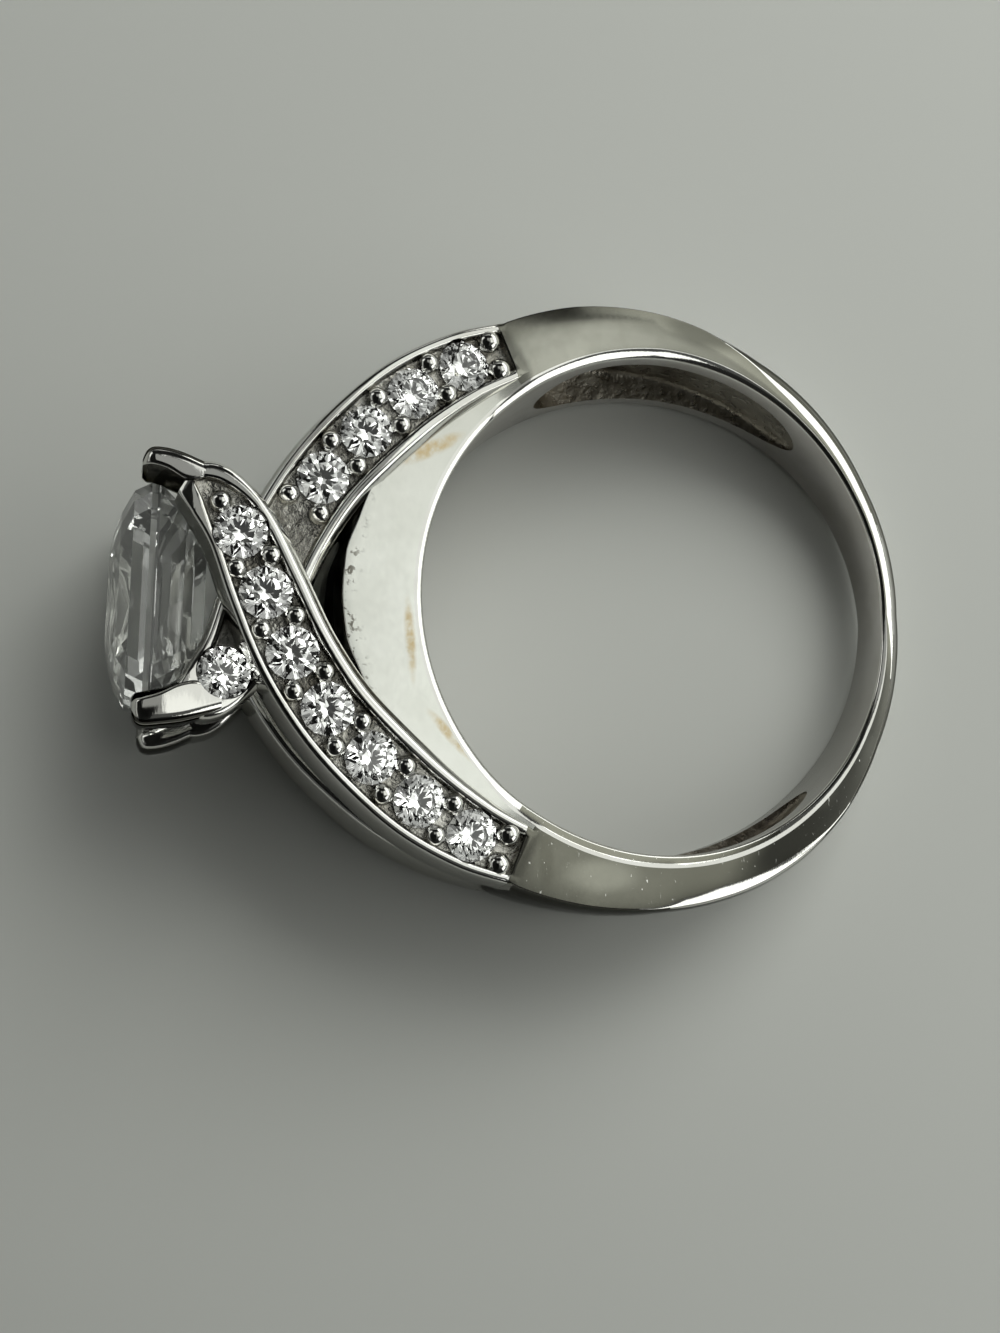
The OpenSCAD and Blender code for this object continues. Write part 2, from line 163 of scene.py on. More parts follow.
class Metal:
    """Metal whose colour drifts to patch, whose roughness varies and whose fine lines run as brush says."""

    def __init__(self, name, colour, patch, rough, uneven, brush, depth):
        self.material, self.bsdf = shader(name, Metallic=1.0)
        self.tree = self.material.node_tree
        self.mm = ring_mm(self.tree)
        cloud = self.grain(CLOUD, 0.38, 0.68)
        self.base = blend(self.tree, cloud, (*colour, 1), (*patch, 1))
        fine = self.grain(brush, 0.3, 0.75, 5.0, 0.6)
        spread = node(self.tree, "MapRange", Value=fine, To_Min=rough, To_Max=rough + uneven).outputs[0]
        bump = node(self.tree, "Bump", Strength=0.35, Distance=depth * MM, Height=fine).outputs[0]
        feed(self.tree, self.bsdf.inputs["Roughness"], spread)
        feed(self.tree, self.bsdf.inputs["Normal"], bump)
        feed(self.tree, self.bsdf.inputs["Base Color"], self.base)

    def lay(self, mask, colour):
        """Lays one more colour over the metal where the mask is."""
        self.base = blend(self.tree, mask, self.base, (*colour, 1))
        feed(self.tree, self.bsdf.inputs["Base Color"], self.base)

    def tint_edges(self, value):
        """Sets how much light the metal mirrors at a very low angle."""
        self.bsdf.inputs["Specular Tint"].default_value = (*value, 1)

    def grain(self, stretch, low, high, detail=3.0, turn=0.0):
        """Noise stretched along the axes, as a mask from 0 at low to 1 at high."""
        place = node(self.tree, "Mapping", Vector=self.mm, Rotation=(0, 0, turn), Scale=stretch).outputs[0]
        noise = node(self.tree, "TexNoise", Vector=place, Scale=1.0, Detail=detail, Roughness=0.6)
        return self.ramp(noise.outputs["Fac"], low, high)

    def ramp(self, value, low, high, top=1.0, kind="LINEAR"):
        """A mask from 0 where the value is low to top where it is high."""
        return node(
            self.tree, "MapRange", {"interpolation_type": kind}, Value=value, From_Min=low, From_Max=high,
            To_Max=top,
        ).outputs[0]

    def spot(self, centre, size, turn):
        """A soft oval mask."""
        local = node(
            self.tree, "Mapping", {"vector_type": "TEXTURE"}, Vector=self.mm, Location=centre,
            Rotation=(0, 0, turn), Scale=size,
        ).outputs[0]
        away = node(self.tree, "VectorMath", {"operation": "LENGTH"}, n0=local).outputs["Value"]
        return self.ramp(away, 1.0, 0.35, kind="SMOOTHSTEP")

    def product(self, a, b):
        """One mask times another, or times a number."""
        return node(self.tree, "Math", {"operation": "MULTIPLY"}, n0=a, n1=b).outputs[0]

    def axis(self, number):
        """One of the ring's own coordinates: 0 towards the photo's lower side, 1 towards the back."""
        return node(self.tree, "SeparateXYZ", Vector=self.mm).outputs[number]

    def radius(self):
        """The distance from the finger hole's axis."""
        flat = node(self.tree, "VectorMath", {"operation": "MULTIPLY"}, n0=self.mm, n1=(1, 1, 0)).outputs[0]
        return node(self.tree, "VectorMath", {"operation": "LENGTH"}, n0=flat).outputs["Value"]


CLOUD = (0.45, 0.45, 0.45)
# Olive laid over the satin faces as painted shade
PAINTED_SHADE_OLIVE = (0.15, 0.148, 0.12)
# Tint that darkens grazing reflections as painted shade
GRAZING_SHADE_TINT = (0.12, 0.12, 0.11)
PLATED = ((0.84, 0.835, 0.81), (0.76, 0.75, 0.71), 0.05, 0.04, (2, 9, 9), 0.003)

polished = Metal("polished_metal", *PLATED)
# Painted shade: grazing reflections tinted down, darker than bare metal's
polished.tint_edges((0.55, 0.55, 0.54))

# The shank's side faces, with painted shade darker towards the back, the lower side and the upper face's
# outer edge, near-black painted shade patches, one lighter painted highlight, and specks
satin = Metal("satin_metal", (0.44, 0.44, 0.385), (0.34, 0.34, 0.29), 0.19, 0.05, (5, 7, 6), 0.0015)
# Painted shade: darker towards the back and towards the lower side
satin.lay(satin.ramp(satin.axis(1), -2.5, 4.0, 0.62), PAINTED_SHADE_OLIVE)
satin.lay(satin.ramp(satin.axis(0), -5.0, 5.0, 0.80), PAINTED_SHADE_OLIVE)
# Painted highlight: a lighter patch on the lower face; painted shade: a dark band beside it towards the
# head
satin.lay(satin.product(satin.spot((9.3, -2.7, 3.4), (0.75, 1.7, 2), 0), 0.3), (0.56, 0.56, 0.48))
satin.lay(satin.product(satin.spot((8.6, -4.6, 3.4), (1.5, 0.35, 2), 0), 0.6), PAINTED_SHADE_OLIVE)
# Painted shade: darker along the outer edge of the upper face
leaning = node(
    satin.tree, "Math", {"operation": "MULTIPLY_ADD"}, n0=satin.axis(1), n1=0.17, n2=satin.radius(),
).outputs[0]
top_half = satin.ramp(satin.axis(0), -3.0, -7.0)
satin.lay(satin.product(satin.ramp(leaning, 9.3, 10.15, 0.72), top_half), PAINTED_SHADE_OLIVE)
# Painted shade: near-black patches on the lower face towards the back and a dark patch on the upper face
for centre, size, turn, strength, colour in (
    ((8.05, 4.75, 2.2), (3.9, 1.15, 4), 2.11, 0.95, (0.03, 0.03, 0.026)),
    ((5.6, 7.3, 1.9), (3.2, 1.10, 4), 2.49, 0.92, (0.045, 0.045, 0.04)),
    ((3.4, 8.5, 1.6), (3.4, 0.95, 4), 2.74, 0.85, (0.09, 0.09, 0.08)),
    ((-9.72, 1.7, 2.9), (2.4, 0.75, 3), 1.43, 0.80, (0.09, 0.09, 0.075)),
):
    satin.lay(satin.product(satin.spot(centre, size, turn), strength), colour)
low_half = satin.ramp(satin.axis(0), 0.0, 5.0)
specks = satin.grain((5, 8, 6), 0.69, 0.75)
nicks = satin.grain((1.2, 11, 3), 0.69, 0.74, turn=0.9)
satin.lay(satin.product(specks, low_half), (0.90, 0.90, 0.86))
satin.lay(satin.product(nicks, low_half), (0.86, 0.86, 0.83))

# The crescent under the head, with painted shade towards its upper side, tan stains, pits along the arm and
# fine scratches
gallery_satin = Metal(
    "gallery_metal", (0.88, 0.89, 0.84), (0.81, 0.82, 0.765), 0.22, 0.05, (3, 5, 3), 0.0015,
)
# Painted shade: the crescent darkens towards its upper side
gallery_satin.lay(gallery_satin.ramp(gallery_satin.axis(0), -1.5, -7.0, 0.6), (0.55, 0.55, 0.50))
wavy = gallery_satin.grain((2.2, 2.2, 2.2), 0.25, 0.60)
for centre, size, turn in (
    ((1.45, -9.10, 3.5), (1.7, 0.22, 2), 0.06),
    ((-5.05, -8.25, 3.4), (1.5, 0.34, 2), 2.04),
    ((4.65, -7.75, 3.2), (1.4, 0.24, 2), 0.74),
):
    stain = gallery_satin.product(gallery_satin.spot(centre, size, turn), wavy)
    gallery_satin.lay(gallery_satin.product(stain, 0.85), (0.58, 0.44, 0.22))
near_arm = gallery_satin.ramp(gallery_satin.radius(), 10.6, 11.2, kind="SMOOTHSTEP")
pits = gallery_satin.product(gallery_satin.grain((3.2, 3.2, 3.2), 0.56, 0.62), near_arm)
scratches = gallery_satin.grain((0.5, 16, 4), 0.74, 0.80, 4.0, 1.4)
gallery_satin.lay(gallery_satin.product(pits, 0.9), (0.10, 0.085, 0.06))
gallery_satin.lay(gallery_satin.product(scratches, 0.5), (0.30, 0.29, 0.26))

bore = Metal("bore_metal", (0.72, 0.70, 0.68), (0.60, 0.575, 0.54), 0.14, 0.12, (0.5, 0.5, 14), 0.006)
# Painted shade: the finger hole's wall darkens towards the lower side, for the shadowed floor it reflects
bore.lay(bore.ramp(bore.axis(0), 0.0, 5.0, 0.8), (0.33, 0.32, 0.30))
pocket_metal = Metal(
    "pocket_metal", (0.46, 0.43, 0.37), (0.20, 0.175, 0.14), 0.20, 0.24, (2.6, 2.6, 2.6), 0.16,
)
# Painted shade: the channel floor between the rails gets a darker colour
channel_metal = Metal(
    "channel_metal", (0.62, 0.61, 0.57), (0.24, 0.225, 0.19), 0.04, 0.08, (2.4, 2.4, 2.4), 0.34,
)
# Painted shade: near-black metal for narrow edges and the prongs' inner sides
painted_shade_metal = Metal("painted_shade_metal", (0.17, 0.165, 0.15), (0.09, 0.088, 0.08), 0.08, 0.06, (3, 5, 5), 0.002)
painted_shade_metal.tint_edges(GRAZING_SHADE_TINT)
# The wall metal: the plated metal with its grazing reflections tinted down further as painted shade
wall_metal = Metal("wall_metal", *PLATED)
wall_metal.tint_edges(GRAZING_SHADE_TINT)

FINISHES = [polished, satin, gallery_satin, bore, pocket_metal, channel_metal, painted_shade_metal, wall_metal]
POLISHED, SATIN, GALLERY_SATIN, BORE, POCKET, CHANNEL, PAINTED_SHADE, WALL = range(len(FINISHES))


def table(values, x):
    """The second column of values at x in the first."""
    return np.interp(x, values[:, 0], values[:, 1])


def spline(values, t):
    """Catmull-Rom through the rows of values, at the row numbers t."""
    t = np.clip(np.asarray(t, float), 0, len(values) - 1)
    i = np.clip(np.floor(t).astype(int), 0, len(values) - 2)
    f = (t - i)[..., None]
    a = values[np.maximum(i - 1, 0)]
    b = values[i]
    c = values[i + 1]
    d = values[np.minimum(i + 2, len(values) - 1)]
    return b + f * ((c - a) / 2 + f * (a - 2.5 * b + 2 * c - d / 2 + f * (1.5 * b - 1.5 * c + (d - a) / 2)))


def arm_point(t):
    """The middle of an arm seen along the finger, at the row number t of its table."""
    row = spline(ARM, t)
    return np.stack([row[..., ASIDE], -row[..., TO_HEAD]], -1)


def arm_across(t):
    """The direction across an arm."""
    t = np.asarray(t, float)
    along = arm_point(np.minimum(t + 0.05, LAST_T)) - arm_point(np.maximum(t - 0.05, 0))
    along /= np.linalg.norm(along, axis=-1, keepdims=True)
    return np.stack([-along[..., 1], along[..., 0]], -1)


def arm_face(t, under):
    """The height of an arm's face."""
    return spline(ARM, t)[..., FACE_UNDER if under else FACE_OVER]


def rounded(corners, cuts):
    """A closed outline with each corner rounded over the length in cuts, always in POINTS points."""
    points = []
    count = len(corners)
    for i in range(count):
        before = corners[i - 1]
        here = corners[i]
        after = corners[(i + 1) % count]
        to_before = before - here
        to_after = after - here
        len_before = np.linalg.norm(to_before)
        len_after = np.linalg.norm(to_after)
        cut = min(cuts[i], 0.45 * len_before, 0.45 * len_after)
        start = here + to_before / max(len_before, 1e-9) * cut
        end = here + to_after / max(len_after, 1e-9) * cut
        for k in range(POINTS):
            s = k / (POINTS - 1)
            points.append((1 - s) ** 2 * start + 2 * s * (1 - s) * here + s * s * end)
    return np.array(points)


def loft(name, rings, closed=False, finish=None):
    """A closed mesh through rings of points; with closed the last ring joins the first. Finish
    gives a finish for each stretch of the outline."""
    rings = np.asarray(rings, float)
    m, n, _ = rings.shape
    faces = []
    for i in range(m if closed else m - 1):
        k = (i + 1) % m
        for j in range(n):
            j2 = (j + 1) % n
            faces.append((i * n + j, i * n + j2, k * n + j2, k * n + j))
    if not closed:
        faces.append(tuple(range(n - 1, -1, -1)))
        faces.append(tuple((m - 1) * n + j for j in range(n)))
    obj = mesh_object(name, rings.reshape(-1, 3), faces)
    for metal in FINISHES:
        obj.data.materials.append(metal.material)
    if finish is not None:
        for poly in obj.data.polygons:
            if len(poly.vertices) == 4:
                poly.material_index = finish[poly.index % n]
    return obj


def mesh_object(name, points, faces):
    """A new object from points and faces."""
    mesh = bpy.data.meshes.new(name)
    mesh.from_pydata([tuple(p) for p in points], [], faces)
    mesh.update()
    obj = bpy.data.objects.new(name, mesh)
    bpy.context.scene.collection.objects.link(obj)
    outward(obj)
    return obj


def outward(obj):
    """Turns a closed mesh's faces outwards."""
    mesh = obj.data
    mesh.calc_loop_triangles()
    co = np.array([v.co for v in mesh.vertices])
    tri = np.array([t.vertices for t in mesh.loop_triangles])
    a, b, c = co[tri[:, 0]], co[tri[:, 1]], co[tri[:, 2]]
    if np.einsum("ij,ij->i", a, np.cross(b, c)).sum() < 0:
        mesh.flip_normals()


def turned(obj, name, matrix):
    """A copy of obj through a matrix, with its faces outwards."""
    copy = obj.copy()
    copy.data = obj.data.copy()
    copy.name = name
    bpy.context.scene.collection.objects.link(copy)
    copy.data.transform(matrix)
    outward(copy)
    return copy


MIRROR_X = Matrix.Diagonal((-1, 1, 1, 1))
TO_BACK = Matrix.Rotation(math.pi, 4, "Y")


def both_sides(obj):
    """The thing itself and its copy on the hidden side."""
    return [obj, turned(obj, obj.name + "_back", TO_BACK)]


def join(name, objects):
    """One object of several meshes; the parts go."""
    bpy.ops.object.select_all(action="DESELECT")
    for o in objects:
        o.select_set(True)
    bpy.context.view_layer.objects.active = objects[0]
    if len(objects) > 1:
        bpy.ops.object.join()
    objects[0].name = name
    return objects[0]


def boolean(target, tool, operation):
    """Joins, cuts or intersects two closed meshes; the tool goes."""
    mod = target.modifiers.new("cut", "BOOLEAN")
    mod.object = tool
    mod.operation = operation
    mod.solver = "MANIFOLD"
    bpy.context.view_layer.objects.active = target
    bpy.ops.object.select_all(action="DESELECT")
    target.select_set(True)
    bpy.ops.object.modifier_apply(modifier=mod.name)
    bpy.data.objects.remove(tool)
    return target


# Turn from the back through the photo's upper side, end of the flat face, width of the bright strip
# outside it, width and height of the inner bevel
RIM = np.array([
    [0, 8.86, 0.24, 0.14, 0.10], [11, 8.84, 0.28, 0.13, 0.13], [20, 8.85, 0.30, 0.13, 0.13],
    [32, 8.88, 0.35, 0.13, 0.13], [40, 8.93, 0.36, 0.13, 0.13], [52, 9.04, 0.36, 0.13, 0.13],
    [60, 9.22, 0.24, 0.14, 0.14], [66, 9.44, 0.05, 0.15, 0.14], [72, 9.66, 0.02, 0.18, 0.14],
    [80, 9.96, 0.02, 0.22, 0.15], [90, 10.22, 0.02, 0.25, 0.16], [107, 10.72, 0.02, 0.26, 0.16],
    [122, 11.12, 0.02, 0.28, 0.16], [137, 11.30, 0.02, 0.22, 0.09], [223, 11.30, 0.02, 0.22, 0.09],
    [232, 11.20, 0.02, 0.36, 0.14], [238, 11.15, 0.02, 0.38, 0.16], [250, 10.83, 0.02, 0.38, 0.16],
    [260, 10.57, 0.02, 0.37, 0.16], [266, 10.44, 0.04, 0.36, 0.15], [272, 10.18, 0.22, 0.35, 0.15],
    [280, 9.94, 0.34, 0.34, 0.14], [290, 9.92, 0.24, 0.31, 0.13], [300, 9.84, 0.16, 0.27, 0.12],
    [308, 9.78, 0.04, 0.24, 0.11], [314, 9.70, 0.02, 0.22, 0.11], [320, 9.54, 0.02, 0.21, 0.11],
    [330, 9.34, 0.02, 0.20, 0.10], [340, 9.19, 0.02, 0.19, 0.10], [350, 9.06, 0.04, 0.17, 0.10],
    [360, 8.86, 0.24, 0.14, 0.10],
])
# Angle from the back, radius of the outer middle
OUTER = np.array([
    [0, 9.62], [30, 9.80], [40, 9.98], [50, 10.16], [60, 10.30], [70, 10.42], [80, 10.50], [90, 10.60],
    [107, 10.95], [122, 11.30], [134, 11.42], [180, 11.45],
])
# Turn from the back, how far the side face swells, as a part of its width
CROWN = np.array([
    [0, 0.02], [60, 0.06], [105, 0.07], [121, 0.02], [130, 0.0], [230, 0.0], [239, 0.01], [300, 0.02],
    [360, 0.02],
])
FACE_STEPS = (0.25, 0.5, 0.75)
STRIP_FALL = 0.33
DOME_START = math.radians(30)
DOME_STEPS = np.radians((47, 67))
BAND_STEP = 1.5


def side_face(a):
    """Half of the band's outline at a turn from the back, from the finger hole to the outside."""
    from_back = a if a <= 180 else 360 - a
    from_head = math.radians(180 - from_back)
    rise = np.clip((from_back - 120) / 20, 0, 1)
    w = rise * rise * (3 - 2 * rise)
    half_in, half_out = [np.interp(from_back, SHANK[:, 0], SHANK[:, c]) for c in (2, 3)]
    face_end, strip, bevel_w, bevel_h = [np.interp(a, RIM[:, 0], RIM[:, c]) for c in range(1, 5)]
    outer = table(GALLERY, math.degrees(from_head))
    half_in = half_in * (1 - w) + table(GALLERY_HALF, FINGER_R * math.cos(from_head)) * w
    half_out = half_out * (1 - w) + table(GALLERY_HALF, outer * math.cos(from_head)) * w
    face_end = face_end * (1 - w) + (outer - strip) * w
    middle_r = table(OUTER, from_back) * (1 - w) + (outer + 0.02) * w
    rim_r = face_end + strip
    crown = table(CROWN, a) * (face_end - FINGER_R)
    points = [(FINGER_R, half_in - bevel_h)]
    flat = face_end - FINGER_R - bevel_w
    for s in (0, *FACE_STEPS, 1):
        r = FINGER_R + bevel_w + flat * s
        z = half_in + (half_out - half_in) * (r - FINGER_R) / (rim_r - FINGER_R)
        points.append((r, z + 4 * crown * s * (1 - s)))
    rim_z = points[-1][1] - strip * STRIP_FALL
    points.append((rim_r, rim_z))
    bulge = max(middle_r - rim_r, 0.02)
    for u in DOME_STEPS:
        r = rim_r + bulge * (math.sin(u) - math.sin(DOME_START)) / (1 - math.sin(DOME_START))
        points.append((r, rim_z * math.cos(u) / math.cos(DOME_START)))
    return points, rim_r + bulge


# Faces along half the band's outline, from the finger hole to the outside
BEVEL = 3
SIDE_FACE = range(7, 20)
STRIP = range(20, 24)
RIM_EDGE = range(24, 27)
OUTER_WALL = 27


def band_finish(j, turn):
    """The finish of face number j of half the outline, at a turn from the back."""
    if j in SIDE_FACE:
        return GALLERY_SATIN if 124 <= turn <= 236 else SATIN
    if j == BEVEL and 232 <= turn <= 296:
        return SATIN
    # Over these turns the strip and the rim edge take painted shade: the near-black metal, or the satin
    # metal with its painted shade
    if j in STRIP and (74 < turn <= 128 or 234 <= turn <= 262 or 314 <= turn <= 344):
        return PAINTED_SHADE
    if j in RIM_EDGE:
        narrowing = 3 * (OUTER_WALL - j)
        if 14 + narrowing <= turn <= 66:
            return SATIN
        if 66 < turn <= 128 or 234 <= turn <= 268 or 306 <= turn <= 358 - narrowing:
            return PAINTED_SHADE
    # The outer walls take the wall metal, whose grazing reflections are tinted down as painted shade
    return WALL if j >= OUTER_WALL else POLISHED


def band():
    """The finger hole's wall, the shank and the gallery as one closed ring."""
    rings = []
    stations = np.arange(0, 360, BAND_STEP)
    half_cuts = [0.10, 0.08, *[0.3] * len(FACE_STEPS), 0.10, 0.10, 0.3, 0.3]
    cuts = [*half_cuts, 0.3, *reversed(half_cuts)]
    for a in stations:
        upper, upper_r = side_face(a)
        lower, lower_r = side_face((360 - a) % 360)
        under = [(r, -z) for r, z in reversed(lower)]
        outline = rounded(np.array([*upper, (max(upper_r, lower_r), 0.0), *under]), cuts)
        angle = math.radians(a)
        rings.append([(-r * math.sin(angle), r * math.cos(angle), z) for r, z in outline])
    ring = loft("band", rings, closed=True)
    n = len(outline)
    for poly in ring.data.polygons:
        j = poly.index % n
        turn = stations[poly.index // n]
        if j == n - 1:
            poly.material_index = BORE
        elif j < n // 2:
            poly.material_index = band_finish(j, turn)
        else:
            poly.material_index = band_finish(n - 2 - j, 360 - turn)
    return ring


def gallery_gap():
    """The hollow between the gallery's two plates."""
    rings = []
    for a in np.linspace(-50, 50, 41):
        half = table(GAP_HALF, abs(a))
        outline = [(FINGER_R + 0.9, -half), (FINGER_R + 0.9, half), (12, half), (12, -half)]
        angle = math.radians(a)
        rings.append([(r * math.sin(angle), -r * math.cos(angle), z) for r, z in outline])
    return loft("gap", rings)


def pocket():
    """The long hollow inside a shoulder, open to the finger hole."""
    first, last, steps = 47, 116, 32
    wall, side_wall = 0.82, 0.85
    middle = (first + last) / 2
    reach = (last - first) / 2
    rings = []
    for i in range(steps + 1):
        a = middle - reach * math.cos(math.pi * i / steps)
        shut = math.sqrt(max(0.0004, 1 - (abs(a - middle) / reach) ** 6))
        outer = np.interp(a, SHANK[:, 0], SHANK[:, 1]) - wall + 0.25
        half = (np.interp(a, SHANK[:, 0], SHANK[:, 2]) - side_wall) * shut
        depth = FINGER_R + (outer - FINGER_R) * (0.4 + 0.6 * shut)
        corners = np.array([(8, -half), (8, half), (depth, half * 0.95), (depth, -half * 0.95)])
        outline = rounded(corners, [0, 0, 0.25, 0.25])
        angle = math.radians(a)
        rings.append([(-r * math.sin(angle), r * math.cos(angle), z) for r, z in outline])
    return loft("pocket", rings, finish=[POCKET] * len(outline))


# Place along the arm, width of the ledge outside the rail
LEDGE = np.array([[0, 0.05], [1, 0.18], [2.5, 0.26], [6.5, 0.26], [8, 0.08], [9, 0.02]])


def channel_half(t):
    """Half the width of an arm's channel, which closes towards the head."""
    half = spline(ARM, t)[HALF_W] - RAIL_W
    close = min(1, (CHANNEL_END_T - t) / 1.4)
    return max(0.02, half * math.sqrt(max(0, close)))


TAIL_RUNS = (1.1, 0.8, 0.5, 0.25, 0.10)


def arm(name, under):
    """An arm with its channel between two rails, and a flat tail that sinks into the shank."""
    rings = []
    start = arm_point(0)
    backwards = start - arm_point(0.1)
    backwards /= np.linalg.norm(backwards)
    stations = [(run, 0.0, 0.0) for run in TAIL_RUNS] + [(0.04, 0.0, 0.12)]
    stations += [(0, t, 1.0) for t in np.arange(0, LAST_T + 0.01, 0.1)]
    # Run is the way back into the shank, t the place on the arm, open_part how open the channel is
    for run, t, open_part in stations:
        row = spline(ARM, t)
        # The tip narrows and dips into the prong
        tip = max(0, (t - 8.2) / 0.8) ** 2
        fade = 1 - 0.18 * run - 0.25 * tip
        half = row[HALF_W] * fade
        face = row[FACE_UNDER if under else FACE_OVER] - 0.06 * run ** 2 - (0.05 if under else 0.16) * tip
        low = row[LOW]
        middle = (face + low) / 2
        wide = table(LEDGE, t)
        # The outer edge is softer where the arm meets its prong
        soft = np.clip((t - 7) / 1.6, 0, 1)
        drop = LEDGE_DROP + 0.45 * soft
        ch = channel_half(t) * fade
        depth = CHANNEL_DEPTH * min(1, ch / 0.35) * open_part
        floor = face - depth
        slope = min(0.06, ch / 3)
        corners = np.array([
            (half - 0.12, low), (half + 0.17, middle + 0.2), (half, face),
            (ch, face), (ch - slope, floor), (-ch + slope, floor), (-ch, face),
            (-half, face), (-half - wide, face - drop), (-half - wide, middle), (-half, low),
        ])
        cuts = [0.2, 0.30, 0.12, 0.10, 0.06, 0.06, 0.10, 0.12 + 0.2 * soft, 0.05, 0.3, 0.2]
        outline = rounded(corners, cuts)
        p = arm_point(t) + backwards * run
        n = arm_across(t)
        rings.append([(p[0] + u * n[0], p[1] + u * n[1], v) for u, v in outline])
    made = loft(name, rings, finish=[CHANNEL if 15 <= j < 24 else POLISHED for j in range(len(outline))])
    for poly in made.data.polygons:
        if poly.index < len(TAIL_RUNS) * len(outline):
            poly.material_index = SATIN
    return made


def channel_start(name, under):
    """What a channel takes out of the shank where the arm begins."""
    rings = []
    for t in (-0.10, 0.0, *np.linspace(0.2, 2.2, 21)):
        on = max(t, 0)
        half = channel_half(on)
        face = arm_face(on, under)
        floor = face - CHANNEL_DEPTH
        corners = [(half - 0.05, floor), (half, face + 1), (-half, face + 1), (-half + 0.05, floor)]
        p = arm_point(0) + (arm_point(0.1) - arm_point(0)) * t * 10 if t < 0 else arm_point(t)
        n = arm_across(on)
        rings.append([(p[0] + u * n[0], p[1] + u * n[1], v) for u, v in corners])
    return loft(name, rings, finish=[POLISHED, POLISHED, POLISHED, CHANNEL])


# Finishes round a prong: near-black metal inside and on the outer edges as painted shade, plain on the
# walls
PRONG_FINISH = (
    [WALL] * 4 + [POLISHED] * 11 + [PAINTED_SHADE] * 5 + [POLISHED] * 8 + [PAINTED_SHADE] * 3 + [WALL] + [PAINTED_SHADE] * 3 + [WALL]
)


def prong(name, under):
    """A corner prong, bent over the stone at its tip."""
    values = PRONG_UNDER if under else PRONG_OVER
    heel_z, bend_z = 3.1, 3.5
    rings = []
    for t in np.linspace(0, len(values) - 1, 37):
        to_head, out, inner, heel, low, face = spline(values, t)
        corners = np.array([
            (out - 0.04, low + 0.2), (out - 0.2, low), (heel + 0.4, low), (heel, heel_z),
            (heel + 0.06, bend_z), (inner, face), (out - 0.30, face), (out - 0.09, face - 0.10),
            (out, face - 0.34),
        ])
        outline = rounded(corners, [0.12, 0.12, 0.15, 0.2, 0.2, 0.10, 0.12, 0.12, 0.14])
        rings.append([(-u, -to_head, v) for u, v in outline])
    return loft(name, rings, finish=PRONG_FINISH)


# Round stones and beads along the arms
ACCENT_D = 1.75
PITCH = 2.13
FIRST = 1.6
PAST_CROSSING = 6.42
BEAD_R = 0.37
BEAD_ASIDE = 0.60
BEAD_FOOT = -0.12
BEAD_NECK = 0.08
END_BEAD_R = 0.42
END_BEAD_RUN = 0.40
END_BEAD_ASIDE = 0.52
LAST_BEAD = 0.56
SEAT_TIP_R = 0.12
SEAT_ROOM = 1.03
SEAT_TOP = 0.5
GIRDLE_BELOW = 0.26
PAVILION = 0.43
ARM_T = np.linspace(0, LAST_T, LAST_T * 10 + 1)
ARM_RUN = np.concatenate([[0], np.cumsum(np.linalg.norm(np.diff(arm_point(ARM_T), axis=0), axis=1))])
OVER_RUNS = [FIRST + i * PITCH for i in range(7)]
UNDER_RUNS = [FIRST + i * PITCH for i in range(4)] + [FIRST + PAST_CROSSING * PITCH]


def on_arm(run, under):
    """The place on an arm's face, with X along the arm and Z out of the sloping face."""
    t = float(np.interp(run, ARM_RUN, ARM_T))
    across = arm_across(t)
    ahead = (across[1], -across[0])
    way = np.linalg.norm(arm_point(t + 0.2) - arm_point(t - 0.2))
    rise = (arm_face(t + 0.2, under) - arm_face(t - 0.2, under)) / way
    p = arm_point(t)
    return (
        Matrix.Translation((p[0], p[1], arm_face(t, under)))
        @ Matrix.Rotation(math.atan2(ahead[1], ahead[0]), 4, "Z")
        @ Matrix.Rotation(-math.atan(rise), 4, "Y")
    )


def circle(r, z, n):
    """A ring of n points."""
    return [(r * math.cos(2 * math.pi * i / n), r * math.sin(2 * math.pi * i / n), z) for i in range(n)]


def seats(name, runs, under):
    """The seats of the round stones on an arm."""
    made = []
    r = ACCENT_D / 2 + SEAT_GAP
    depth = ACCENT_D * PAVILION + 0.1
    for i, run in enumerate(runs):
        steps = ((SEAT_TIP_R, -depth), (r * SEAT_ROOM, -0.01), (r * SEAT_ROOM, SEAT_TOP))
        seat = loft(f"{name}_{i}", [circle(radius, z, 32) for radius, z in steps])
        seat.data.transform(on_arm(run, under) @ Matrix.Translation((0, 0, -GIRDLE_BELOW)))
        made.append(seat)
    return join(name, made)


BEAD_STEPS = np.radians([14, 28, 42, 56, 70, 83])


def beads(name, places, under):
    """The bead grains on an arm."""
    made = []
    for i, (run, side, aside, r) in enumerate(places):
        dome = [(r * math.cos(u), BEAD_NECK + r * math.sin(u)) for u in BEAD_STEPS]
        rings = [(r, BEAD_FOOT), (r, BEAD_NECK), *dome]
        bead = loft(f"{name}_{i}", [circle(radius, z, 24) for radius, z in rings])
        bead.data.transform(on_arm(run, under) @ Matrix.Translation((0, side * aside, -CHANNEL_DEPTH)))
        made.append(bead)
    return join(name, made)


def bead_places(pairs, last_stone):
    """Each bead's place along the arm, side, distance aside and radius."""
    runs = [FIRST + (i - 0.5) * PITCH for i in range(1, pairs + 1)]
    between = [(run, side, BEAD_ASIDE, BEAD_R) for run in runs for side in (-1, 1)]
    ends = [(END_BEAD_RUN, side, END_BEAD_ASIDE, END_BEAD_R) for side in (-1, 1)]
    return [*between, (last_stone + PITCH * LAST_BEAD, 0, BEAD_ASIDE, BEAD_R), *ends]


OVER_BEADS = bead_places(6, OVER_RUNS[-1])
UNDER_BEADS = bead_places(4, UNDER_RUNS[-1])

